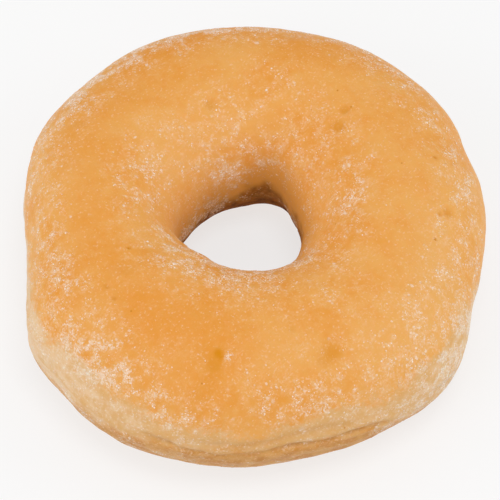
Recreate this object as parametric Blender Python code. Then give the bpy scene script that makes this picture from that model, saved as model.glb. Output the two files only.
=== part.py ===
"""A sugared ring doughnut: one thick, uneven piece of fried yeast dough with a hole through its middle.

The ring lies on a flat patch of its underside, which is where it rests. A bearing is the direction from
the middle of the ring seen from above, in degrees anticlockwise from +X. A turn is the direction from the
middle of the ring's round section: 0 is the outer side, 90 the crown, 180 the wall of the hole and 270
the underside.
"""

import math

import bmesh
import bpy
from mathutils import Vector, noise

MM = 0.001

# Driving dimensions
RIM_HALF_WIDTH = 47.1 * MM
RIM_HALF_DEPTH = 50.9 * MM
HOLE_RADIUS = 10.9 * MM
HEIGHT = 33.0 * MM
WAIST_HEIGHT = 16.0 * MM  # where the ring is widest

# The section is a rounded box: 2 would be an ellipse, and more is squarer
SQUARENESS_ACROSS = 2.1
SQUARENESS_ABOVE = 2.2
SQUARENESS_BELOW = 2.35
REST_HALF_TURN = 14  # the underside is flat this many degrees of turn to either side of its middle

# Lobes and pinches of the rim: bearing, height in mm, spread in degrees
RIM_SWELLS = (
    (34, 3.0, 26),
    (119, 2.4, 11),
    (150, 3.2, 11),
    (209, 1.7, 4.5),
    (223, 2.3, 16),
    (323, 2.9, 11.5),
    (23, -1.2, 3.2),
    (186, -1.1, 9),
    (281, -1.4, 9.6),
    (339, -0.8, 6),
)

# The hole is off centre and bulges into three soft corners
HOLE_OFFSET = (-1.15 * MM, 1.45 * MM)
HOLE_SWELLS = (
    (71, 2.3, 14),
    (182, 3.0, 13.5),
    (319, 1.8, 35),
)

# Rise and fall of the crown along the ring: bearing, height in mm, spread in degrees
CROWN_SWELLS = (
    (245, 0.7, 28),
    (75, 0.5, 22),
    (150, -0.5, 18),
    (335, -0.6, 24),
)

# Creases that run along the outer side, where the fried crust ends and the paler belt begins:
# turn, depth in mm, spread in degrees
BELT_CREASES = (
    (29, 0.2, 5),
    (-8, 0.25, 5),
)

# Local dents, and swellings where the depth is negative: bearing, turn, depth in mm, then the spread in
# degrees of bearing and of turn
DENTS = (
    (221, -14, 0.4, 3.5, 20),
    (303, -20, 0.9, 10, 8),
    (293, -4, -0.5, 11, 8),
    (262, -16, 0.6, 13, 7),
    (250, 4, -0.4, 12, 9),
    (223, 148, -0.5, 5, 18),
    (60, 150, -0.4, 9, 20),
    (56, 96, 0.6, 7, 12),
    (128, 70, 0.5, 9, 14),
    (172, 64, -0.5, 12, 13),
    (217, 52, -0.6, 14, 12),
    (300, 62, 0.5, 12, 12),
    (345, 100, -0.5, 12, 16),
    (200, 128, 0.6, 8, 14),
    (30, 290, 0.8, 16, 14),
    (160, 250, 0.7, 14, 14),
)

# Unevenness of the dough: wavelength and height in mm
DOUGH_WAVES = (
    (13.0, 0.45),
    (6.0, 0.16),
)
REST_FADE_HEIGHT = 4.0 * MM  # relief dies away this close to the resting patch

STATIONS = 150  # round the ring
SECTION_POINTS = 36

CRUST_COLOUR = (0.80, 0.42, 0.13, 1.0)
CRUST_ROUGHNESS = 0.5


def bump(offset, spread):
    """A smooth hill, 1 at the middle, that falls to 0.6 at the spread."""
    return math.exp(-0.5 * (offset / spread) ** 2)


def apart(first, second):
    """The signed angle from one direction to the other, in degrees from -180 to 180."""
    return (first - second + 180) % 360 - 180


def swell(bearing, swells):
    """The sum of some lobes and pinches at a bearing."""
    return sum(height * MM * bump(apart(bearing, at), spread) for at, height, spread in swells)


def rim_radius(bearing):
    mean = (RIM_HALF_WIDTH + RIM_HALF_DEPTH) / 2
    oval = (RIM_HALF_WIDTH - RIM_HALF_DEPTH) / 2
    return mean + oval * math.cos(math.radians(2 * bearing)) + swell(bearing, RIM_SWELLS)


def hole_radius(bearing):
    angle = math.radians(bearing)
    shifted = HOLE_OFFSET[0] * math.cos(angle) + HOLE_OFFSET[1] * math.sin(angle)
    return HOLE_RADIUS + shifted + swell(bearing, HOLE_SWELLS)


def signed_power(value, power):
    return math.copysign(abs(value) ** power, value)


def section_point(bearing, turn):
    """A point on the plain section at a bearing, as (distance from the ring's axis, height)."""
    rim, hole = rim_radius(bearing), hole_radius(bearing)
    cosine, sine = math.cos(math.radians(turn)), math.sin(math.radians(turn))
    radius = (rim + hole) / 2 + (rim - hole) / 2 * signed_power(cosine, 2 / SQUARENESS_ACROSS)
    if sine > 0:
        above = HEIGHT - WAIST_HEIGHT + swell(bearing, CROWN_SWELLS)
        return radius, WAIST_HEIGHT + above * sine ** (2 / SQUARENESS_ABOVE)
    depth = (-sine) ** (2 / SQUARENESS_BELOW)
    flat_depth = math.cos(math.radians(REST_HALF_TURN)) ** (2 / SQUARENESS_BELOW)
    return radius, WAIST_HEIGHT * (1 - depth / flat_depth)


def relief(place, bearing, turn):
    """How far the skin stands out from the plain section: creases, dents and the dough's unevenness."""
    height = 0.0
    for at, depth, spread in BELT_CREASES:
        height -= depth * MM * bump(apart(turn, at), spread)
    for at, around, depth, along, across in DENTS:
        height -= depth * MM * bump(apart(bearing, at), along) * bump(apart(turn, around), across)
    for wavelength, swing in DOUGH_WAVES:
        height += swing * MM * noise.noise(place / (wavelength * MM))
    rise = max(0.0, min(1.0, place.z / REST_FADE_HEIGHT))
    return height * rise * rise * (3 - 2 * rise)


def skin_point(bearing, turn):
    """A point on the finished skin. The relief follows the direction of the turn."""
    angle = math.radians(bearing)
    outward = Vector((math.cos(angle), math.sin(angle), 0.0))
    radius, height = section_point(bearing, turn)
    place = outward * radius + Vector((0.0, 0.0, height))
    tilt = math.radians(turn)
    direction = outward * math.cos(tilt) + Vector((0.0, 0.0, math.sin(tilt)))
    return place + direction * relief(place, bearing, turn)


def ring_mesh():
    """The closed skin as a net of quads, with the middle of its base at the origin.

    A section runs from the outer edge of the flat patch over the crown to its inner edge, and the last
    quads close it across the flat.
    """
    first_turn = REST_HALF_TURN - 90
    turn_step = (360 - 2 * REST_HALF_TURN) / (SECTION_POINTS - 1)
    rings = [
        [
            skin_point(360 * station / STATIONS, first_turn + step * turn_step)
            for step in range(SECTION_POINTS)
        ]
        for station in range(STATIONS)
    ]
    places = [place for ring in rings for place in ring]
    middle = Vector(
        [(min(p[axis] for p in places) + max(p[axis] for p in places)) / 2 for axis in (0, 1)] + [0.0]
    )
    net = bmesh.new()
    rows = [[net.verts.new(place - middle) for place in ring] for ring in rings]
    for station in range(STATIONS):
        here, after = rows[station], rows[(station + 1) % STATIONS]
        for step in range(SECTION_POINTS):
            up = (step + 1) % SECTION_POINTS
            net.faces.new((here[step], after[step], after[up], here[up]))
    bmesh.ops.recalc_face_normals(net, faces=net.faces)
    mesh = bpy.data.meshes.new("doughnut_ring")
    net.to_mesh(mesh)
    net.free()
    mesh.shade_smooth()
    return mesh


def crust_material():
    material = bpy.data.materials.new("fried_crust")
    material.use_nodes = True
    shader = material.node_tree.nodes["Principled BSDF"]
    shader.inputs["Base Color"].default_value = CRUST_COLOUR
    shader.inputs["Roughness"].default_value = CRUST_ROUGHNESS
    shader.inputs["Metallic"].default_value = 0.0
    return material


def main():
    for old in list(bpy.data.objects):
        bpy.data.objects.remove(old, do_unlink=True)
    mesh = ring_mesh()
    mesh.materials.append(crust_material())
    ring = bpy.data.objects.new("doughnut_ring", mesh)
    bpy.context.scene.collection.objects.link(ring)


main()
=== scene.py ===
"""The looks of the ring doughnut: its crust as one fine skin, and the sugar that lies on it.

The skin is cast from the solid, freed of its facets and given the crust's own relief. A place on the ring
is given as in the solid: a bearing is the direction from the middle of the ring seen from above, in degrees
anticlockwise from +X, and a turn is the direction from the middle of the ring's section, where 0 is the
outer side, 90 the crown, 180 the wall of the hole and 270 the underside.
"""

import math
from collections import namedtuple

import bpy
import numpy as np
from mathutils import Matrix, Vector, noise
from mathutils.bvhtree import BVHTree


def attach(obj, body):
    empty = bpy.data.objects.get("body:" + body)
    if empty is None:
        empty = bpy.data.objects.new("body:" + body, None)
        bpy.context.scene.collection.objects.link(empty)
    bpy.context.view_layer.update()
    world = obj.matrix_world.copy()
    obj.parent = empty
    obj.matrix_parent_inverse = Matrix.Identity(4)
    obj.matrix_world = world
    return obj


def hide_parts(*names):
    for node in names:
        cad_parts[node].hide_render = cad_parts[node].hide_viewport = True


MM = 0.001

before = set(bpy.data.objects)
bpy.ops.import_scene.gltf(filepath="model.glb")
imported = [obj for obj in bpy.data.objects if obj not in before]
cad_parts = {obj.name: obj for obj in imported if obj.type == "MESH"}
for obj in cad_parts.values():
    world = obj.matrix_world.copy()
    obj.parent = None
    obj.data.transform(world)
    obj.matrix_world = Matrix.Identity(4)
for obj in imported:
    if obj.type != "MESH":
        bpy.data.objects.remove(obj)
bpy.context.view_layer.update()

# The ring in the solid's frame
RING = "doughnut_ring"
RING_AXIS = np.array((-0.8, -0.5)) * MM
SECTION_HEIGHT = 16.0 * MM  # of the middle of the section
GROUND = 0.0  # the height that the ring rests on

# The fine skin
SKIN_STATIONS = 512  # round the ring
SKIN_STEPS = 188  # round the section
FACET_LENGTH = 2.8 * MM  # of the solid round the ring, which the skin smooths away
FACET_WIDTH = 1.4 * MM  # the same round the section
RAY_START = 100 * MM  # from the ring's axis, well outside the rim

# Noise in layers: strength, length of its lumps in mm, and seed. The first four are in degrees of turn
CRUST_EDGE_NOISE = ((4.0, 4.5, 1), (2.5, 1.8, 2))
BELT_EDGE_NOISE = ((5.0, 4.0, 3), (4.0, 1.8, 4))
WALL_EDGE_NOISE = ((5.0, 7.0, 12), (5.0, 2.0, 13))
CREASE_NOISE = ((1.4, 6.0, 8), (0.8, 2.5, 9))
EDGE_SOFTNESS_NOISE = ((1.0, 14.0, 10),)
SUGAR_NOISE = ((1.0, 3.6, 21), (1.3, 1.5, 22))
RELIEF_NOISE = ((0.10, 4.5, 5), (0.045, 1.6, 6))  # in mm
FOLD_NOISE = ((0.12, 2.6, 15),)  # in mm
SEED_STEP = (3.7, 5.1, 1.9)  # from one seed's noise to the next, in lumps

# Streaks along the ring: noise on a ring of this radius, squeezed across so that it is drawn out along it
STREAK_RADIUS = 45 * MM
STREAK_SQUEEZE = 1.6 * MM  # for each degree of turn
STREAK_LENGTH = 9 * MM
STREAK_SEED = 16

# Pits and dimples of the crust: bearing, turn, half width in mm, depth in mm, and how much darker, 0 to 1
PITS = (
    # The dimple at the front and the shallow fold that runs down from it
    (260.5, 69.5, 1.1, 0.12, 1.0),
    (260.9, 66.5, 0.9, 0.12, 0.9),
    (259.8, 62, 1.9, 0.1, 0.6),
    (258.2, 66, 2.8, 0.1, 0.3),
    (259.5, 55, 2.0, 0.1, 0.3),
    (258.5, 49, 2.0, 0.1, 0.25),
    (257.5, 43, 2.0, 0.1, 0.2),
    # Dimples behind the hole
    (46, 111, 1.5, 0.55, 0.5),
    (48.5, 99, 1.1, 0.4, 0.5),
    (109, 115.5, 1.3, 0.45, 0.4),
    # The flat blister at the front
    (293.6, 61, 2.2, 0.15, 0.55),
    (291.4, 57.5, 1.5, 0.1, 0.4),
    # Pinholes and small pits
    (16, 58.5, 0.4, 0.4, 0.9),
    (356, 60, 0.6, 0.4, 0.6),
    (357, 54, 1.2, 0.45, 0.5),
    (346.5, 58.5, 0.3, 0.4, 1.0),
    (206.5, 103.5, 0.3, 0.4, 1.0),
    (217, 75, 0.55, 0.45, 0.5),
    (222, 72, 0.5, 0.45, 0.5),
    (285, 82, 0.8, 0.25, 0.2),
    # Wide dents, which are hardly darker
    (213, 95, 2.2, 0.25, 0.1),
    (150, 62, 2.0, 0.3, 0.1),
    (79, 52, 2.6, 0.3, 0.1),
    (62, 197, 3.0, 0.35, 0.0),
    (318, 153, 3.0, 0.3, 0.0),
    (222, 151, 1.6, 0.35, 0.0),
)
PIT_STEEPNESS = 3  # the higher, the flatter a pit's bottom and the steeper its sides
PIT_RIM_WIDTH = 1.6  # as a share of the pit's
PIT_RIM_HEIGHT = 0.12  # as a share of the pit's depth

# Where the golden crust of the top ends, as (bearing, turn). The back, which the photograph hides, is like
# the rest
CRUST_EDGE = (
    (0, 4), (30, 7), (60, 13), (90, 17), (120, 13), (150, 8), (175, 11), (190, 20), (200, 25), (209, 30),
    (215, 25.5), (221, 33), (232, 29.5), (240, 26), (251, 22.5), (260, 22.5), (271, 16), (279, 24),
    (290, 28.5), (297, 27), (303, 21), (308, 22), (314, 27), (325, 27.5), (333, 24.5), (340, 14), (348, 7),
)
SHARPEST_EDGE = 6.0  # how many degrees of turn it takes to end, where it ends most abruptly
SOFTEST_EDGE = 12.0
EDGE_SOFTENING = (-0.3, 0.4)  # of the noise, between the sharpest and the softest edge

# Where the pale belt gives way to the browned underside, as (bearing, turn)
BELT_EDGE = (
    (0, -5), (40, -9), (80, -5), (120, -8), (160, -5), (200, -12), (222, -12), (232, -3), (242, 0),
    (250, 6), (258, 6.5), (270, 4.5), (280, 2.5), (290, 2.5), (297, 1), (303, -8), (310, -13), (320, -16),
    (340, -12),
)
BELT_EDGE_SOFTNESS = 7
BELT_LIMITS = (100, 120)  # degrees from the outer side over which the belt's mark fades out, either way
UNDER_REACH = 110  # how far the belt's lower edge counts, in degrees from the outer side
UNDER_START = (200, 225)  # turns over which the underside begins below the wall of the hole
TAN_BEARING = 284  # the middle of the belt's darker stretch
TAN_SPREAD = 44
TAN_STREAKS = 0.7  # how strongly streaks make it darker and paler

# Where painted shade darkens the crust towards the hole and where darker painted shade on its wall begins,
# as (bearing, turn)
LIP_EDGE = (
    (0, 157), (30, 159), (70, 157), (88, 161), (103, 172), (120, 172), (150, 173), (180, 169), (270, 166),
)
WALL_EDGE = (
    (0, 173), (20, 176), (45, 180), (62, 179), (80, 177), (92, 180), (104, 185), (125, 186), (142, 188),
    (170, 190), (270, 188),
)
LIP_SOFTNESS = 16
LIP_END = (232, 262)  # turns over which it fades out again below
WALL_SOFTNESS = 6
WALL_FIRST_SHARE = 0.8  # of the wall's painted shade, which is there from the wall's edge on
WALL_LAST_TURNS = (187, 198)  # over which the rest of it comes
WALL_END = (208, 230)  # turns over which it fades out again below

# Creases along the side: how deep in mm and how wide in degrees of turn, then the way that each takes as
# (bearing, turn)
CREASES = (
    (
        0.5,
        1.7,
        (
            (243, 10), (251, 9), (257, 5), (264, 2), (272, 3), (280, 6), (287, 4), (294, 6.5), (300, 4),
            (307, -6),
        ),
    ),
    (0.3, 2.4, ((286, 1), (292, -2), (299, -3), (306, -10))),
    (0.2, 2.2, ((256, 14.5), (268, 11.5), (281, 16), (297, 15))),
    (0.25, 2.2, ((312, 4), (324, -2), (340, 2), (352, -4))),
    (0.3, 2.2, ((20, -4), (45, -8), (70, -2), (95, -6))),
    (0.3, 2.2, ((110, -3), (135, -9), (160, -4), (185, -8))),
)
CREASE_FADE = 7  # degrees of bearing at each end
CREASE_SHADE = 2.2  # how dark the painted shade in a crease is, for each mm of depth
CREASE_SHADE_WIDTH = 0.8  # how wide that painted shade is, as a share of the crease's
CREASE_LIP_HEIGHT = 0.5  # of the fold above it, as a share of the crease's depth
CREASE_LIP_RISE = 2.6  # how far above it the fold lies, in widths of the crease
CREASE_LIP_WIDTH = 1.4  # as a share of the crease's

# The rest of the relief, in mm
SUGAR_RELIEF = 0.04
BELT_RELIEF = -0.12
FOLD_RELIEF = 0.3
UNDER_FOLDS = 0.7  # folds of the underside, as a share of the belt's
RELIEF_START = (0.1 * MM, 2.5 * MM)  # heights over which it begins above the flat patch of the underside

# How thick the sugar lies, from none at 0 to thickest at 1, as (turn, thickness)
SUGAR_COAT = (
    (0, 0.12), (25, 0.2), (45, 0.30), (60, 0.22), (75, 0.07), (88, 0.06), (105, 0.18), (120, 0.27),
    (138, 0.25), (155, 0.18), (186, 0.12), (197, 0.02), (240, 0.0), (320, 0.15), (340, 0.25),
)

# Where it lies thicker, or thinner below 0: bearing, turn, spread in degrees of bearing and of turn, amount
SUGAR_PATCHES = (
    # The shoulder at the front left
    (233, 38, 8, 7, 0.7),
    (239, 41, 2, 2.5, 0.35),
    (235, 33, 2, 2, 0.4),
    (229, 44, 2, 2, 0.3),
    (251, 33, 6, 5, 0.3),
    (241, 32, 3, 3, -0.2),
    (248, 42, 3, 4, -0.2),
    (256, 21, 5, 5, 0.3),
    (262, 52, 22, 9, -0.12),
    (262, 46, 4, 5, -0.12),
    (263.1, 66, 0.6, 2.0, 0.8),
    # The shoulder at the left
    (222.5, 55, 2.5, 3, 0.55),
    (218, 48, 5, 6, -0.1),
    (216, 53, 3, 4, -0.25),
    (206, 57, 7, 8, 0.3),
    (208, 22, 8, 8, 0.15),
    (191, 50, 6, 8, 0.25),
    (172, 24, 12, 8, 0.25),
    (149, 38, 9, 12, 0.2),
    # The shoulder at the back
    (132, 36, 12, 6, 0.3),
    (122, 42, 18, 8, 0.25),
    (116, 41, 16, 6, 0.28),
    (112, 46, 6, 4, 0.1),
    (104, 46, 3, 3, 0.3),
    (95, 42, 14, 7, 0.08),
    (66, 36, 14, 8, 0.2),
    (36, 42, 9, 10, 0.1),
    # The shoulder at the right
    (10, 40, 7, 9, 0.15),
    (356, 34, 6, 9, 0.2),
    (340, 12, 12, 12, 0.25),
    (328, 48, 14, 12, 0.12),
    (328, 12, 8, 8, 0.3),
    (319.5, 48, 4, 5, -0.15),
    (316, 20, 7, 8, 0.25),
    (313, 54, 5, 5, 0.2),
    # The shoulder at the front
    (300, 52, 4, 5, -0.15),
    (296, 33, 9, 6, 0.14),
    (283, 27, 6, 5, 0.25),
    (275, 41, 6, 5, 0.12),
    (272, 21, 8, 5, -0.18),
    # Low on the side
    (326, -4, 14, 8, 0.35),
    (311, -4, 10, 9, 0.15),
    (245, -9, 9, 6, 0.15),
    (222, -8, 10, 8, 0.2),
    # The crown
    (300, 85, 14, 12, 0.12),
    (330, 102, 6, 8, -0.1),
    (7, 118, 14, 10, 0.15),
    (81, 93, 6, 7, 0.15),
    (165, 122, 9, 8, 0.15),
    (166, 106, 7, 8, 0.2),
    (180, 120, 10, 8, 0.15),
    (199, 117, 7, 7, -0.15),
    (302, 124, 8, 8, -0.2),
    # Round the hole
    (215, 132, 12, 12, 0.35),
    (240, 140, 18, 12, 0.45),
    (272, 138, 16, 12, 0.38),
    (314, 150, 14, 10, 0.4),
    (340, 142, 7, 7, -0.2),
    (2, 160, 14, 9, 0.22),
    (60, 150, 12, 9, 0.05),
    (97, 158, 24, 12, 0.45),
    (102, 176, 8, 5, 0.4),
    # The wall of the hole
    (40, 186, 16, 5, 0.6),
    (114, 185, 12, 5, 0.12),
    (130, 186, 20, 6, 0.7),
    (152, 186, 15, 6, 1.0),
)
SUGAR_EVENNESS = 0.8  # the share of its thickness that the noise leaves as it is
THICKEST_SUGAR = 1.5  # in clumps

# Where the golden crust is paler, or deeper below 0: bearing, turn, spread in degrees of bearing and of
# turn, and amount
CRUST_TONES = (
    (236, 84, 16, 20, -0.7),
    (262, 70, 10, 8, -0.4),
    (246, 46, 10, 10, -0.3),
    (140, 138, 24, 16, 0.9),
    (112, 105, 16, 14, 0.35),
    (346, 58, 14, 14, 0.9),
    (316, 46, 14, 16, 0.8),
    (72, 72, 10, 12, -0.4),
    (358, 130, 14, 12, -0.4),
    (98, 46, 14, 10, -0.9),
    (122, 54, 10, 10, -0.6),
    (57, 44, 10, 10, -0.5),
    (158, 62, 10, 12, -0.5),
    (32, 32, 10, 12, -0.5),
    (280, 104, 8, 8, -0.4),
    (136, 78, 12, 10, -0.4),
    (190, 80, 8, 10, -0.4),
    (34, 72, 8, 8, 0.3),
    (61, 104, 8, 8, -0.3),
)

# A kind of sugar. length is the grains' usual length in mm, and spread how far its logarithm varies.
# thickness runs from least to most as a share of the length, and sunk is how much of it is in the crust.
# lean is in radians. whiteness runs from least to most. Melted grains are smooth, and clumped ones keep to
# the thickest sugar
Kind = namedtuple("Kind", "flake count length spread thickness sunk lean whiteness melted clumped")
SUGAR_KINDS = {
    "sugar_melt": Kind(
        flake="blob",
        count=6000,
        length=0.5,
        spread=0.28,
        thickness=(0.08, 0.16),
        sunk=0.5,
        lean=0.04,
        whiteness=(0.2, 0.6),
        melted=True,
        clumped=False,
    ),
    "sugar_dust": Kind(
        flake="chip",
        count=9900,
        length=0.2,
        spread=0.25,
        thickness=(0.15, 0.35),
        sunk=0.45,
        lean=0.12,
        whiteness=(0.3, 0.9),
        melted=False,
        clumped=False,
    ),
    "sugar_grains": Kind(
        flake="chip",
        count=5000,
        length=0.36,
        spread=0.25,
        thickness=(0.15, 0.3),
        sunk=0.45,
        lean=0.12,
        whiteness=(0.4, 1.0),
        melted=False,
        clumped=False,
    ),
    "sugar_crystals": Kind(
        flake="block",
        count=350,
        length=0.42,
        spread=0.2,
        thickness=(0.3, 0.5),
        sunk=0.4,
        lean=0.2,
        whiteness=(0.7, 1.0),
        melted=False,
        clumped=True,
    ),
}
FLAKES = {"blob": (10, 7), "chip": (10, 5), "block": (8, 4)}  # how many different ones, and their sides
SUGAR_SEED = 11
BARE_BELOW = 0.12  # thickness of sugar up to which it has no grains
CLUSTERING = 1.4  # the power of the thickness above that which their density follows
THICK_SUGAR = (0.1, 0.7)  # thickness over which grains get their full whiteness
LONE_WHITENESS = 0.8  # of a grain outside the patches, as a share of one inside
VARIETY = (0.7, 1.2)  # least and most of a grain's width and of how far it is sunk, as shares of the usual

# A flake, which is about 1 across
CORNER_SHIFT = 0.3  # of its corners round the rim, as a share of a side
SHOULDER_WIDTH = (0.45, 0.75)  # as a share of its foot's
SHOULDER_HEIGHT = (0.2, 0.4)
TOP_HEIGHT = 0.45
FOOT_HEIGHT = -0.5

# Lengths of the lumps in the crust's patterns
TONE_LUMPS = 11 * MM
MOTTLE_LUMPS = 2.4 * MM
BLOTCH_LUMPS = 3.6 * MM
BORDER_LUMPS = 0.8 * MM
CLOT_LUMPS = 1.1 * MM
FLECK_LUMPS = 0.5 * MM
STROKE_LUMPS = 0.8 * MM
STROKE_BREAKS = 1.5 * MM
PORE_SPACING = 4.5 * MM
COARSE_GRAIN = 1.1 * MM
FINE_GRAIN = 0.7 * MM

# How deep its bumps are
COARSE_DEPTH = 0.09 * MM
FINE_DEPTH = 0.04 * MM
FILM_DEPTH = 0.045 * MM

# How much of the crust the parts of the sugar's film hide, from 0 to 1
VEIL = 0.1
CLOTS = 0.42
FLECKS = 0.72
STROKES = 0.5
SPECKS = 0.42
WALL_SPECKS = 0.15  # on the wall of the hole

# Shares of the crust's colours, from 0 to 1
GOLDEN_EVENNESS = 0.5
PALE_MOTTLES = 0.4
TAN_MOTTLES = 0.25
BORDER_RAGGEDNESS = 0.25
PORE_DARKNESS = 0.8

# Pores, in shares of their spacing, and which of the random tints of the cells have one
PORE_RADIUS = (0.02, 0.06)  # of its dark middle and of its edge
PORE_TINTS = (0.58, 0.62)

# Roughness of the bare crust, of its film, and what the hole adds to them
BARE_ROUGHNESS = 0.42
FILM_ROUGHNESS = 0.55
HOLE_ROUGHNESS = 0.4

# Colours
GOLDEN = (0.80, 0.358, 0.073, 1)
GOLDEN_LIGHT = (0.81, 0.416, 0.122, 1)
GOLDEN_DEEP = (0.78, 0.298, 0.040, 1)
HOLLOW_OCHRE = (0.69, 0.255, 0.004, 1)
BELT_PALE = (0.79, 0.535, 0.305, 1)
BELT_TAN = (0.72, 0.405, 0.150, 1)
UNDER_BROWN = (0.64, 0.325, 0.100, 1)
UNDER_DARK = (0.55, 0.235, 0.050, 1)
# Painted shade towards the hole, then darker painted shade on its wall
LIP_SHADE = (0.66, 0.30, 0.058, 1)
WALL_SHADE_LIGHT = (0.29, 0.086, 0.003, 1)
WALL_SHADE_DEEP = (0.115, 0.028, 0.0, 1)
FILM = (0.88, 0.60, 0.38, 1)
FILM_PALE = (0.87, 0.74, 0.60, 1)
# The film of sugar under the painted shade towards the hole
FILM_SHADE = (0.56, 0.28, 0.10, 1)
PORE = (0.58, 0.20, 0.012, 1)
SUGAR_WHITE = (0.98, 0.87, 0.76, 1)
# Sugar under the painted shade towards the hole
SUGAR_SHADE = (0.78, 0.50, 0.29, 1)

# What is the same all over each material
CRUST_FINISH = {
    "Specular IOR Level": 0.05,
    "Subsurface Weight": 0.2,
    "Subsurface Radius": (1.0, 0.45, 0.2),
    "Subsurface Scale": 1.5 * MM,
}
SUGAR_FINISH = {
    "Roughness": 0.25,
    "Specular IOR Level": 0.3,
}
FLOOR_FINISH = {
    "Base Color": (0.25, 0.25, 0.25, 1),
    "Roughness": 0.8,
    "Specular IOR Level": 0.1,
    "Emission Color": (1, 1, 1, 1),
    "Emission Strength": 0.70,
}

# The camera looks down along +Y. Its aim is the point that fills the middle of the picture
CAMERA_HEIGHT_DEGREES = 57
CAMERA_DISTANCE = 550 * MM
CAMERA_AIM = (-0.94 * MM, -1.19 * MM, 14.46 * MM)
PICTURE_WIDTH = 103.15 * MM  # what the picture spans at the aim
SENSOR_WIDTH = 36  # in mm, as Blender gives a lens
NEAREST_SEEN = 10 * MM

# The floor and the light. A lamp has its direction from the doughnut, its width in m and its power in watts
FLOOR_HALF_WIDTH = 3.0
FLOOR_LEVEL = -0.02 * MM  # just clear of the underside
SKY_STRENGTH = 0.56
LAMP_DISTANCE = 0.9
LAMPS = {
    "overhead": ((0.1, -0.22, 1.0), 0.3, 2.0),
    "front_left": ((-0.6, -0.6, 0.7), 0.4, 1.1),
    "left": ((-1.0, 0.0, 0.5), 0.5, 1.1),
    "right": ((1.0, 0.0, 0.5), 0.5, 1.6),
}


def apart(first, second):
    """The signed angle from one direction to the other, in degrees from -180 to 180."""
    return (first - second + 180) % 360 - 180


def bump(offset, spread):
    """A smooth hill, 1 at the middle, that falls to 0.6 at the spread."""
    return np.exp(-0.5 * (offset / spread) ** 2)


def smooth_step(value, low, high):
    """0 below low, 1 above high and a smooth ramp between them."""
    ramp = np.clip((value - low) / (high - low), 0, 1)
    return ramp * ramp * (3 - 2 * ramp)


def outward_at(bearings):
    """Level directions away from the ring's axis."""
    angles = np.radians(bearings)
    return np.stack([np.cos(angles), np.sin(angles), np.zeros_like(angles)], -1)


def smoothed(values, spread_cells):
    """values as a net that closes on itself, blurred by a spread in cells along each of its directions."""
    found = np.fft.fftn(values)
    for direction, spread in enumerate(spread_cells):
        waves = np.fft.fftfreq(values.shape[direction])
        keep = np.exp(-2 * (math.pi * waves * spread) ** 2)
        shape = [1] * values.ndim
        shape[direction] = -1
        found *= keep.reshape(shape)
    return np.fft.ifftn(found).real


def noise_at(places, wavelength, seed):
    """Smooth noise from about -1 to 1 at each place, with lumps about as long as the wavelength."""
    shift = Vector([seed * step for step in SEED_STEP])
    flat = (places / wavelength).reshape(-1, 3)
    found = [noise.noise(Vector(place) + shift) for place in flat]
    return np.array(found).reshape(places.shape[:-1])


def layered_noise(places, layers):
    """The sum of some layers of noise at each place."""
    return sum(strength * noise_at(places, length * MM, seed) for strength, length, seed in layers)


def cast_skin():
    """The solid's skin without its facets as a net of points, with each point's bearing and turn."""
    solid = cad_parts[RING].data
    corners = [vertex.co for vertex in solid.vertices]
    tree = BVHTree.FromPolygons(corners, [face.vertices for face in solid.polygons])
    bearings = np.arange(SKIN_STATIONS) * 360 / SKIN_STATIONS
    turns = np.arange(SKIN_STEPS) * 360 / SKIN_STEPS
    outward = outward_at(bearings)
    axis = np.array((*RING_AXIS, SECTION_HEIGHT))
    hole = np.array([tree.ray_cast(axis, way)[3] for way in outward])
    rim = np.array([RAY_START - tree.ray_cast(axis + way * RAY_START, -way)[3] for way in outward])
    spread = FACET_LENGTH / (2 * math.pi * np.mean(rim)) * SKIN_STATIONS
    middles = axis + outward * smoothed((hole + rim) / 2, (spread,))[:, None]
    angles = np.radians(turns)[None, :, None]
    ways = outward[:, None] * np.cos(angles) + np.array((0, 0, 1)) * np.sin(angles)
    reach = np.array([[tree.ray_cast(start, way)[3] for way in row] for start, row in zip(middles, ways)])
    step_spread = FACET_WIDTH / (2 * math.pi * np.mean(reach)) * SKIN_STEPS
    reach = smoothed(reach, (spread, step_spread))
    points = middles[:, None] + ways * reach[..., None]
    points[..., 2] = np.maximum(points[..., 2], GROUND)
    bearing, turn = np.meshgrid(bearings, turns, indexing="ij")
    return points, bearing, turn


def normals_of(points):
    """The outward direction at each point of a net that closes on itself."""
    along = np.roll(points, -1, 0) - np.roll(points, 1, 0)
    up = np.roll(points, -1, 1) - np.roll(points, 1, 1)
    normal = np.cross(along, up)
    return normal / np.linalg.norm(normal, axis=-1, keepdims=True)


def place_on(points, bearing, turn):
    """The skin's point nearest to a bearing and a turn."""
    station = round(bearing / 360 * SKIN_STATIONS) % SKIN_STATIONS
    step = round(turn / 360 * SKIN_STEPS) % SKIN_STEPS
    return points[station, step]


def eased_at(rows, direction):
    """The value at each direction, eased from one row of (direction, value) to the next, and round again."""
    at = np.array([row[0] for row in rows], float)
    values = np.array([row[1] for row in rows], float)
    after = np.searchsorted(at, direction % 360, side="right")
    before = (after - 1) % len(at)
    after = after % len(at)
    gap = (at[after] - at[before]) % 360
    share = (direction - at[before]) % 360 / gap
    return values[before] + (values[after] - values[before]) * smooth_step(share, 0, 1)


def patches_at(patches, bearing, turn):
    """The sum of some soft patches at each point."""
    found = np.zeros_like(turn)
    for at, around, along, across, amount in patches:
        found += amount * bump(apart(bearing, at), along) * bump(apart(turn, around), across)
    return found


def streaks_at(bearing, side):
    """Noise from about -1 to 1 that is drawn out along the ring."""
    places = outward_at(bearing) * STREAK_RADIUS
    places[..., 2] = side * STREAK_SQUEEZE
    return noise_at(places, STREAK_LENGTH, STREAK_SEED)


def along_way(way, bearing):
    """1 along a crease's way, which fades in and out at its ends."""
    first = way[0][0]
    last = way[-1][0]
    begun = smooth_step(bearing, first, first + CREASE_FADE)
    ended = smooth_step(bearing, last - CREASE_FADE, last)
    return begun * (1 - ended)


def above_crease(points, bearing, side, way):
    """How far each point lies above a crease, in degrees of turn."""
    return side - eased_at(way, bearing) - layered_noise(points, CREASE_NOISE)


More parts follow.
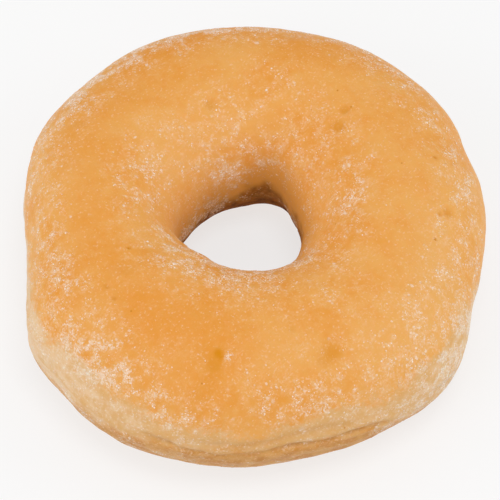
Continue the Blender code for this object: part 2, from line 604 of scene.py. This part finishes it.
def pit_shape(points, bearing, turn, half_width):
    """1 in the middle of a pit, and 0 outside."""
    distance = np.linalg.norm(points - place_on(points, bearing, turn), axis=-1)
    return np.exp(-((distance / (half_width * MM)) ** PIT_STEEPNESS))


def below_crust_mask(points, bearing, side):
    """How far the golden crust has ended, from 0 on the crown to 1 below its edge."""
    soft = smooth_step(layered_noise(points, EDGE_SOFTNESS_NOISE), *EDGE_SOFTENING)
    softness = SHARPEST_EDGE + (SOFTEST_EDGE - SHARPEST_EDGE) * soft
    edge = eased_at(CRUST_EDGE, bearing) + layered_noise(points, CRUST_EDGE_NOISE)
    return smooth_step((edge - side) / softness, -1, 1)


def below_belt_mask(points, bearing, side):
    """How far the pale belt has ended, from 0 above its lower edge to 1 below."""
    edge = eased_at(BELT_EDGE, bearing) + layered_noise(points, BELT_EDGE_NOISE)
    return smooth_step(edge - side, -BELT_EDGE_SOFTNESS, BELT_EDGE_SOFTNESS)


def under_mask(points, bearing, side, inner, below_belt):
    """The browned underside, and painted shade in the creases of the side."""
    under = np.where(np.abs(side) < UNDER_REACH, below_belt, smooth_step(inner, *UNDER_START))
    for depth, width, way in CREASES:
        # Each crease gets painted shade along its way, the darker the deeper it is
        near = bump(above_crease(points, bearing, side, way), CREASE_SHADE_WIDTH * width)
        under = np.maximum(under, np.minimum(1, CREASE_SHADE * depth) * near * along_way(way, bearing))
    return under


def wall_shade_mask(points, bearing, inner):
    """Painted shade on the wall of the hole, which comes in two steps and ends on the underside."""
    edge = eased_at(WALL_EDGE, bearing) + layered_noise(points, WALL_EDGE_NOISE)
    first = smooth_step(inner, edge - WALL_SOFTNESS, edge + WALL_SOFTNESS)
    last = smooth_step(inner, *WALL_LAST_TURNS)
    wall = WALL_FIRST_SHARE * first + (1 - WALL_FIRST_SHARE) * last
    return wall * (1 - smooth_step(inner, *WALL_END))


def hollow_mask(points):
    """The inside of the pits, as dark as each of them is."""
    hollow = np.zeros(points.shape[:-1])
    for at, around, half_width, _, darker in PITS:
        hollow = np.maximum(hollow, darker * pit_shape(points, at, around, half_width))
    return hollow


def looks_masks(points, bearing, turn):
    """What varies over the crust, each from 0 to 1.

    belt is the pale side and tan its darker stretch at the front. under is the underside, with painted shade
    in the creases of the side. lip is painted shade that darkens the crust towards the hole, and wall darker
    painted shade on its wall. hollow is the inside of pits.
    pale and deep are where the golden crust is lighter and darker. sugar is how thick the sugar lies, which
    goes above 1 in clumps.
    """
    side = apart(turn, 0)
    inner = np.where(turn > 90, turn, turn + 360)
    outside = 1 - smooth_step(np.abs(side), *BELT_LIMITS)
    below_belt = below_belt_mask(points, bearing, side)
    belt_tan = bump(apart(bearing, TAN_BEARING), TAN_SPREAD) + TAN_STREAKS * streaks_at(bearing, side)
    lip = smooth_step(inner - eased_at(LIP_EDGE, bearing), -LIP_SOFTNESS, LIP_SOFTNESS)
    tone = patches_at(CRUST_TONES, bearing, turn)
    sugar = eased_at(SUGAR_COAT, turn) + patches_at(SUGAR_PATCHES, bearing, turn)
    sugar *= SUGAR_EVENNESS + layered_noise(points, SUGAR_NOISE)
    return {
        "belt": below_crust_mask(points, bearing, side) * (1 - below_belt) * outside,
        "tan": np.clip(belt_tan, 0, 1),
        "under": under_mask(points, bearing, side, inner, below_belt),
        "lip": lip * (1 - smooth_step(inner, *LIP_END)),
        "wall": wall_shade_mask(points, bearing, inner),
        "hollow": hollow_mask(points),
        "pale": np.clip(tone, 0, 1),
        "deep": np.clip(-tone, 0, 1),
        "sugar": np.clip(sugar, 0, THICKEST_SUGAR),
    }


def pit_relief(points):
    """How far the pits and their low rims stand out from the skin, in mm."""
    height = np.zeros(points.shape[:-1])
    for at, around, half_width, depth, _ in PITS:
        pit = pit_shape(points, at, around, half_width)
        rim = pit_shape(points, at, around, PIT_RIM_WIDTH * half_width)
        height += depth * (PIT_RIM_HEIGHT * rim * (1 - pit) - pit)
    return height


def crease_relief(points, bearing, side):
    """How far the creases and the folds above them stand out from the skin, in mm."""
    height = np.zeros(points.shape[:-1])
    for depth, width, way in CREASES:
        above = above_crease(points, bearing, side, way)
        fold = bump(above - CREASE_LIP_RISE * width, CREASE_LIP_WIDTH * width)
        height += depth * along_way(way, bearing) * (CREASE_LIP_HEIGHT * fold - bump(above, width))
    return height


def crust_relief(points, bearing, turn, masks):
    """How far the crust stands out from the smooth skin."""
    side = apart(turn, 0)
    height = layered_noise(points, RELIEF_NOISE)
    height += SUGAR_RELIEF * masks["sugar"] + BELT_RELIEF * masks["belt"]
    folds = FOLD_RELIEF * streaks_at(bearing, side) + layered_noise(points, FOLD_NOISE)
    height += folds * np.maximum(masks["belt"], UNDER_FOLDS * masks["under"])
    height += pit_relief(points) + crease_relief(points, bearing, side)
    return height * MM * smooth_step(points[..., 2], *RELIEF_START)


def add_mesh(name, points, faces, marks, uv=None):
    """A mesh object from arrays.

    marks are numbers for each vertex that its material reads, and uv is each corner's place on a flat map.
    """
    mesh = bpy.data.meshes.new(name)
    corners = faces.shape[1]
    mesh.vertices.add(len(points))
    mesh.vertices.foreach_set("co", points.astype(np.float32).ravel())
    mesh.loops.add(faces.size)
    mesh.loops.foreach_set("vertex_index", faces.astype(np.int32).ravel())
    mesh.polygons.add(len(faces))
    mesh.polygons.foreach_set("loop_start", np.arange(0, faces.size, corners, dtype=np.int32))
    if uv is not None:
        layer = mesh.uv_layers.new(name="OFBake")
        layer.uv.foreach_set("vector", uv.astype(np.float32).ravel())
    for mark, values in marks.items():
        attribute = mesh.attributes.new(mark, "FLOAT", "POINT")
        attribute.data.foreach_set("value", values.astype(np.float32).ravel())
    mesh.update(calc_edges=True)
    mesh.validate()
    piece = bpy.data.objects.new(name, mesh)
    bpy.context.scene.collection.objects.link(piece)
    return piece


def skin_faces():
    """The quads of the net, and each corner's place on a flat map of it."""
    station, step = np.meshgrid(np.arange(SKIN_STATIONS), np.arange(SKIN_STEPS), indexing="ij")
    corners = []
    places = []
    for along, up in ((0, 0), (1, 0), (1, 1), (0, 1)):
        index = (station + along) % SKIN_STATIONS * SKIN_STEPS + (step + up) % SKIN_STEPS
        place = np.stack([(station + along) / SKIN_STATIONS, (step + up) / SKIN_STEPS], -1)
        corners.append(index.ravel())
        places.append(place.reshape(-1, 2))
    return np.stack(corners, 1), np.stack(places, 1)


def make_crust():
    """The skin of the doughnut as one piece, with what the sugar needs to lie on it."""
    points, bearing, turn = cast_skin()
    normal = normals_of(points)
    masks = looks_masks(points, bearing, turn)
    points = points + normal * crust_relief(points, bearing, turn, masks)[..., None]
    points[..., 2] = np.maximum(points[..., 2], GROUND)
    faces, uv = skin_faces()
    piece = add_mesh("crust", points.reshape(-1, 3), faces, masks, uv)
    piece.data.shade_smooth()
    return piece, points, normals_of(points), masks


def flake_faces(sides):
    """The triangles of a flake: a sloping wall from the foot to the shoulder, the top and the bottom."""
    rim = np.arange(sides)
    after = (rim + 1) % sides
    top = np.full(sides, 2 * sides)
    bottom = top + 1
    return np.concatenate(
        [
            np.stack([rim, after, after + sides], 1),
            np.stack([rim, after + sides, rim + sides], 1),
            np.stack([rim + sides, after + sides, top], 1),
            np.stack([after, rim, bottom], 1),
        ]
    )


def flake_shapes(rng, count, sides):
    """Some flat grains with sloping sides, each as (points, triangles), about 1 across."""
    faces = flake_faces(sides)
    shapes = []
    for _ in range(count):
        shift = rng.uniform(-CORNER_SHIFT, CORNER_SHIFT, sides)
        angles = (np.arange(sides) + shift) * 2 * math.pi / sides
        reach = 0.5 * rng.uniform(*VARIETY, sides)
        across = np.stack([np.cos(angles), np.sin(angles)], 1) * reach[:, None]
        foot = np.column_stack([across, np.full(sides, FOOT_HEIGHT)])
        narrower = rng.uniform(*SHOULDER_WIDTH, (sides, 1))
        shoulder = np.column_stack([across * narrower, rng.uniform(*SHOULDER_HEIGHT, sides)])
        ends = np.array([(0, 0, TOP_HEIGHT), (0, 0, FOOT_HEIGHT)])
        shapes.append((np.concatenate([foot, shoulder, ends]), faces))
    return shapes


def turned_frames(rng, normal, lean):
    """A random spin for each grain, which leans from the skin's normal by about lean, in radians."""
    up = normal + rng.normal(0, lean, normal.shape)
    up /= np.linalg.norm(up, axis=1, keepdims=True)
    side = np.cross(up, rng.normal(0, 1, normal.shape))
    side /= np.linalg.norm(side, axis=1, keepdims=True)
    return np.stack([side, np.cross(up, side), up], -1)


def cell_areas(points):
    """The area of each quad of the net."""
    right = np.roll(points, -1, 0)
    above = np.roll(points, -1, 1)
    return np.linalg.norm(np.cross(right - points, above - points), axis=-1)


class Spots:
    """Random places on the skin, thrown by a density over its net."""

    def __init__(self, rng, points, density, count):
        weight = density * cell_areas(points)
        chosen = rng.choice(weight.size, count, p=(weight / weight.sum()).ravel())
        self.station, self.step = np.unravel_index(chosen, weight.shape)
        self.along, self.up = rng.random((2, count))

    def read(self, net):
        """The net's value at each spot."""
        next_station = (self.station + 1) % SKIN_STATIONS
        next_step = (self.step + 1) % SKIN_STEPS
        shape = [-1] + [1] * (net.ndim - 2)
        along = self.along.reshape(shape)
        up = self.up.reshape(shape)
        low = net[self.station, self.step] * (1 - along) + net[next_station, self.step] * along
        high = net[self.station, next_step] * (1 - along) + net[next_station, next_step] * along
        return low * (1 - up) + high * up


def joined(shapes, which, sizes, turned, middles):
    """All grains' points and triangles, and for each point the grain that it belongs to."""
    all_points = []
    all_faces = []
    owners = []
    used = 0
    for number, (shape, faces) in enumerate(shapes):
        own = np.flatnonzero(which == number)
        local = shape[None] * sizes[own, None]
        placed = np.einsum("nij,nkj->nki", turned[own], local) + middles[own, None]
        starts = used + np.arange(len(own))[:, None, None] * len(shape)
        all_points.append(placed.reshape(-1, 3))
        all_faces.append((faces[None] + starts).reshape(-1, 3))
        owners.append(np.repeat(own, len(shape)))
        used += len(own) * len(shape)
    points = np.concatenate(all_points)
    points[:, 2] = np.maximum(points[:, 2], GROUND)
    return points, np.concatenate(all_faces), np.concatenate(owners)


def scatter(name, rng, skin, density, kind, shapes):
    """Grains of sugar as one piece, thrown on the skin by a density and partly sunk in it."""
    points, normal, masks = skin
    least, most = VARIETY
    thinnest, thickest = kind.thickness
    spots = Spots(rng, points, density, kind.count)
    length = kind.length * MM * np.exp(rng.normal(0, kind.spread, kind.count))
    shares = rng.uniform((least, least, thinnest), (most, most, thickest), (kind.count, 3))
    sizes = shares * length[:, None]
    outward = spots.read(normal)
    lift = sizes[:, 2] * (0.5 - kind.sunk * rng.uniform(least, most, kind.count))
    middles = spots.read(points) + outward * lift[:, None]
    turned = turned_frames(rng, outward, kind.lean)
    marks = {mark: spots.read(mask) for mark, mask in masks.items()}
    whiter = (1 - LONE_WHITENESS) * smooth_step(marks.pop("sugar"), *THICK_SUGAR)
    marks["white"] = rng.uniform(*kind.whiteness, kind.count) * (LONE_WHITENESS + whiter)
    which = rng.integers(0, len(shapes), kind.count)
    placed, faces, owner = joined(shapes, which, sizes, turned, middles)
    piece = add_mesh(name, placed, faces, {mark: values[owner] for mark, values in marks.items()})
    if kind.melted:
        piece.data.shade_smooth()
    return piece


def make_sugar(points, normal, masks):
    """The sugar, one piece for each kind, thick in the patches and thin elsewhere."""
    rng = np.random.default_rng(SUGAR_SEED)
    lying = np.maximum(masks["sugar"] - BARE_BELOW, 0) ** CLUSTERING
    shapes = {flake: flake_shapes(rng, count, sides) for flake, (count, sides) in FLAKES.items()}
    pieces = []
    for name, kind in SUGAR_KINDS.items():
        density = lying * masks["sugar"] if kind.clumped else lying
        pieces.append(scatter(name, rng, (points, normal, masks), density, kind, shapes[kind.flake]))
    return pieces


class Looks:
    """Adds nodes to one material's tree.

    Noise runs from 0 to 1 and stays mostly between 0.3 and 0.7, so a ramp over a narrow part of that makes
    spots with an edge, and one over a wide part makes soft clouds.
    """

    def __init__(self, name):
        self.material = bpy.data.materials.new(name)
        self.material.use_nodes = True
        self.nodes = self.material.node_tree.nodes
        self.links = self.material.node_tree.links
        self.shader = self.nodes["Principled BSDF"]
        self.place = self.nodes.new("ShaderNodeTexCoord").outputs["Object"]

    def put(self, socket, value):
        """Sets a socket to a number or colour, or links it to another socket."""
        if isinstance(value, bpy.types.NodeSocket):
            self.links.new(value, socket)
        else:
            socket.default_value = value

    def set_shader(self, values):
        """Sets what is the same all over on the shader's own sockets."""
        for name, value in values.items():
            self.shader.inputs[name].default_value = value

    def attribute(self, name):
        """One of the marks that the mesh carries."""
        node = self.nodes.new("ShaderNodeAttribute")
        node.attribute_name = name
        return node.outputs["Fac"]

    def noise(self, wavelength, detail=2.0, roughness=0.5, distortion=0.0):
        """Noise from 0 to 1 with lumps about as long as the wavelength."""
        node = self.nodes.new("ShaderNodeTexNoise")
        self.put(node.inputs["Vector"], self.place)
        self.put(node.inputs["Scale"], 1 / wavelength)
        self.put(node.inputs["Detail"], detail)
        self.put(node.inputs["Roughness"], roughness)
        self.put(node.inputs["Distortion"], distortion)
        return node.outputs["Fac"]

    def cells(self, wavelength):
        """Distance from the nearest of points about a wavelength apart, and each point's random colour."""
        node = self.nodes.new("ShaderNodeTexVoronoi")
        self.put(node.inputs["Vector"], self.place)
        self.put(node.inputs["Scale"], 1 / wavelength)
        return node.outputs["Distance"], node.outputs["Color"]

    def sums(self, operation, first, second=0.0, third=0.0):
        """The result of one operation on up to three values."""
        node = self.nodes.new("ShaderNodeMath")
        node.operation = operation
        for socket, value in zip(node.inputs, (first, second, third)):
            self.put(socket, value)
        return node.outputs["Value"]

    def ramp(self, value, low, high, start=0.0, end=1.0):
        """A smooth ramp from start to end as value goes from low to high."""
        node = self.nodes.new("ShaderNodeMapRange")
        node.interpolation_type = "SMOOTHSTEP"
        for name, number in (
            ("Value", value),
            ("From Min", low),
            ("From Max", high),
            ("To Min", start),
            ("To Max", end),
        ):
            self.put(node.inputs[name], number)
        return node.outputs["Result"]

    def mix(self, share, first, second):
        """A colour between two."""
        node = self.nodes.new("ShaderNodeMix")
        node.data_type = "RGBA"
        self.put(node.inputs["Factor"], share)
        self.put(node.inputs["A"], first)
        self.put(node.inputs["B"], second)
        return node.outputs["Result"]

    def bumps(self, height, depth, before=None):
        """A normal bent by a height from 0 to 1 that stands for a depth in metres."""
        node = self.nodes.new("ShaderNodeBump")
        self.put(node.inputs["Strength"], 1.0)
        self.put(node.inputs["Distance"], depth)
        self.put(node.inputs["Height"], height)
        if before is not None:
            self.put(node.inputs["Normal"], before)
        return node.outputs["Normal"]


def golden_colour(looks, mottle):
    """The golden crust of the top, mottled, and paler and deeper in its places."""
    broad = looks.noise(TONE_LUMPS, 3, 0.55)
    golden = looks.mix(looks.ramp(broad, 0.35, 0.65), GOLDEN_DEEP, GOLDEN_LIGHT)
    golden = looks.mix(GOLDEN_EVENNESS, golden, GOLDEN)
    golden = looks.mix(looks.ramp(mottle, 0.35, 0.75, 0, PALE_MOTTLES), golden, GOLDEN_LIGHT)
    golden = looks.mix(looks.attribute("pale"), golden, GOLDEN_LIGHT)
    golden = looks.mix(looks.attribute("deep"), golden, GOLDEN_DEEP)
    return looks.mix(looks.attribute("hollow"), golden, HOLLOW_OCHRE)


def crust_colour(looks):
    """The colour of the bare crust: golden on top, pale at the side and brown below, with painted shade
    towards and in the hole and in the creases of the side.
    """
    mottle = looks.noise(MOTTLE_LUMPS, 3, 0.6)
    golden = golden_colour(looks, mottle)
    mottled = looks.ramp(mottle, 0.35, 0.65, -TAN_MOTTLES, TAN_MOTTLES)
    tanned = looks.sums("ADD", looks.attribute("tan"), mottled)
    side = looks.mix(looks.ramp(tanned, 0, 1), BELT_PALE, BELT_TAN)
    blotch = looks.noise(BLOTCH_LUMPS, 3, 0.65)
    brown = looks.mix(looks.ramp(blotch, 0.38, 0.62), UNDER_DARK, UNDER_BROWN)
    # Painted shade for the wall of the hole, mottled
    deep = looks.mix(looks.ramp(mottle, 0.3, 0.7), WALL_SHADE_DEEP, WALL_SHADE_LIGHT)
    border = looks.noise(BORDER_LUMPS, 2, 0.6)
    ragged = looks.ramp(border, 0.2, 0.8, -BORDER_RAGGEDNESS, BORDER_RAGGEDNESS)
    belt = looks.ramp(looks.sums("ADD", looks.attribute("belt"), ragged), 0.05, 0.95)
    colour = looks.mix(belt, golden, side)
    # Painted shade towards the hole, the brown underside with painted shade in the creases, and darker
    # painted shade on the wall of the hole
    colour = looks.mix(looks.attribute("lip"), colour, LIP_SHADE)
    colour = looks.mix(looks.attribute("under"), colour, brown)
    return looks.mix(looks.attribute("wall"), colour, deep)


def film_strokes(looks):
    """Short bent strokes, 1 on them and 0 beside."""
    line = looks.sums("SUBTRACT", looks.noise(STROKE_LUMPS, 2, 0.5, 0.8), 0.5)
    line = looks.ramp(looks.sums("ABSOLUTE", line), 0.08, 0.02)
    broken = looks.ramp(looks.noise(STROKE_BREAKS, 2, 0.5), 0.42, 0.58)
    return looks.sums("MULTIPLY", line, broken)


def sugar_film(looks):
    """How much of the crust melted sugar hides: a thin veil, with clots, flecks, strokes and specks in it.

    The specks lie everywhere, the rest only where the sugar does. Pits are free of them.
    """
    clots = looks.ramp(looks.noise(CLOT_LUMPS, 2, 0.55), 0.5, 0.58)
    flecks = looks.ramp(looks.noise(FLECK_LUMPS, 2, 0.5), 0.5, 0.6)
    pattern = looks.sums("MULTIPLY_ADD", clots, CLOTS, VEIL)
    pattern = looks.sums("MULTIPLY_ADD", flecks, FLECKS, pattern)
    pattern = looks.sums("MULTIPLY_ADD", film_strokes(looks), STROKES, pattern)
    specks = looks.ramp(looks.noise(FLECK_LUMPS, 1, 0.5), 0.62, 0.76)
    specks = looks.sums("MULTIPLY", specks, looks.ramp(looks.attribute("wall"), 0, 0.8, SPECKS, WALL_SPECKS))
    film = looks.sums("MULTIPLY_ADD", looks.attribute("sugar"), pattern, specks)
    return looks.sums("MULTIPLY", film, looks.ramp(looks.attribute("hollow"), 0, 0.8, 1, 0))


def pores(looks):
    """How dark a pore is: small round dots, in some of the cells only."""
    distance, tint = looks.cells(PORE_SPACING)
    middle, edge = PORE_RADIUS
    return looks.sums(
        "MULTIPLY", looks.ramp(distance, edge, middle), looks.ramp(tint, *PORE_TINTS, 0, PORE_DARKNESS)
    )


def crust_material():
    """The crust with its film of melted sugar, which is duller in the hole."""
    looks = Looks("sugared_crust")
    film = sugar_film(looks)
    film_colour = looks.mix(looks.attribute("belt"), FILM, FILM_PALE)
    # The film takes the painted shade towards the hole as well
    film_colour = looks.mix(looks.attribute("lip"), film_colour, FILM_SHADE)
    colour = looks.mix(film, crust_colour(looks), film_colour)
    looks.put(looks.shader.inputs["Base Color"], looks.mix(pores(looks), colour, PORE))
    rough = looks.ramp(film, 0, 0.6, BARE_ROUGHNESS, FILM_ROUGHNESS)
    rough = looks.sums("MULTIPLY_ADD", looks.attribute("lip"), HOLE_ROUGHNESS, rough)
    looks.put(looks.shader.inputs["Roughness"], rough)
    bent = looks.bumps(looks.noise(COARSE_GRAIN, 3, 0.6), COARSE_DEPTH)
    bent = looks.bumps(looks.noise(FINE_GRAIN, 3, 0.65), FINE_DEPTH, bent)
    bent = looks.bumps(film, FILM_DEPTH, bent)
    looks.put(looks.shader.inputs["Normal"], bent)
    looks.set_shader(CRUST_FINISH)
    return looks.material


def sugar_material(name):
    """Half dissolved sugar, which takes the colour of the crust under it as far as it isn't white."""
    looks = Looks(name)
    # Sugar towards the hole takes painted shade instead of white
    white = looks.mix(looks.attribute("lip"), SUGAR_WHITE, SUGAR_SHADE)
    colour = looks.mix(looks.attribute("white"), crust_colour(looks), white)
    looks.put(looks.shader.inputs["Base Color"], colour)
    looks.set_shader(SUGAR_FINISH)
    return looks.material


def dress():
    """Puts the crust in the solid's place, and the sugar on it."""
    crust, points, normal, masks = make_crust()
    crust.data.materials.append(crust_material())
    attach(crust, "root")
    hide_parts(RING)
    for grains in make_sugar(points, normal, masks):
        grains.data.materials.append(sugar_material(grains.name))
        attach(grains, "root")


def add_camera():
    """The camera at the photograph's angle."""
    lens = bpy.data.cameras.new("photo_view")
    camera = bpy.data.objects.new("photo_view", lens)
    height = math.radians(CAMERA_HEIGHT_DEGREES)
    back = Vector((0, -math.cos(height), math.sin(height)))
    camera.location = Vector(CAMERA_AIM) + back * CAMERA_DISTANCE
    camera.rotation_euler = (math.radians(90 - CAMERA_HEIGHT_DEGREES), 0, 0)
    lens.sensor_width = SENSOR_WIDTH
    lens.lens = SENSOR_WIDTH * CAMERA_DISTANCE / PICTURE_WIDTH
    lens.clip_start = NEAREST_SEEN
    bpy.context.scene.collection.objects.link(camera)
    bpy.context.scene.camera = camera


def add_floor():
    """A pale floor that glows a little, so that it stays nearly white under the shadow."""
    half = FLOOR_HALF_WIDTH
    corners = [(x, y, FLOOR_LEVEL) for x, y in ((-half, -half), (half, -half), (half, half), (-half, half))]
    floor = add_mesh("floor", np.array(corners), np.array([[0, 1, 2, 3]]), {})
    looks = Looks("pale_floor")
    looks.set_shader(FLOOR_FINISH)
    floor.data.materials.append(looks.material)


def add_softbox(name, direction, width, power):
    """A square lamp that shines at the doughnut from a direction."""
    light = bpy.data.lights.new(name, "AREA")
    light.shape = "SQUARE"
    light.size = width
    light.energy = power
    lamp = bpy.data.objects.new(name, light)
    way = Vector(direction).normalized()
    lamp.location = way * LAMP_DISTANCE
    lamp.rotation_euler = way.to_track_quat("Z", "Y").to_euler()
    bpy.context.scene.collection.objects.link(lamp)


def add_light():
    """Soft light from a white studio and its lamps."""
    scene = bpy.context.scene
    world = bpy.data.worlds.new("studio")
    world.use_nodes = True
    sky = world.node_tree.nodes["Background"]
    sky.inputs["Color"].default_value = (1, 1, 1, 1)
    sky.inputs["Strength"].default_value = SKY_STRENGTH
    scene.world = world
    for name, (direction, width, power) in LAMPS.items():
        add_softbox(name, direction, width, power)
    scene.view_settings.view_transform = "Standard"


dress()
add_camera()
add_floor()
add_light()
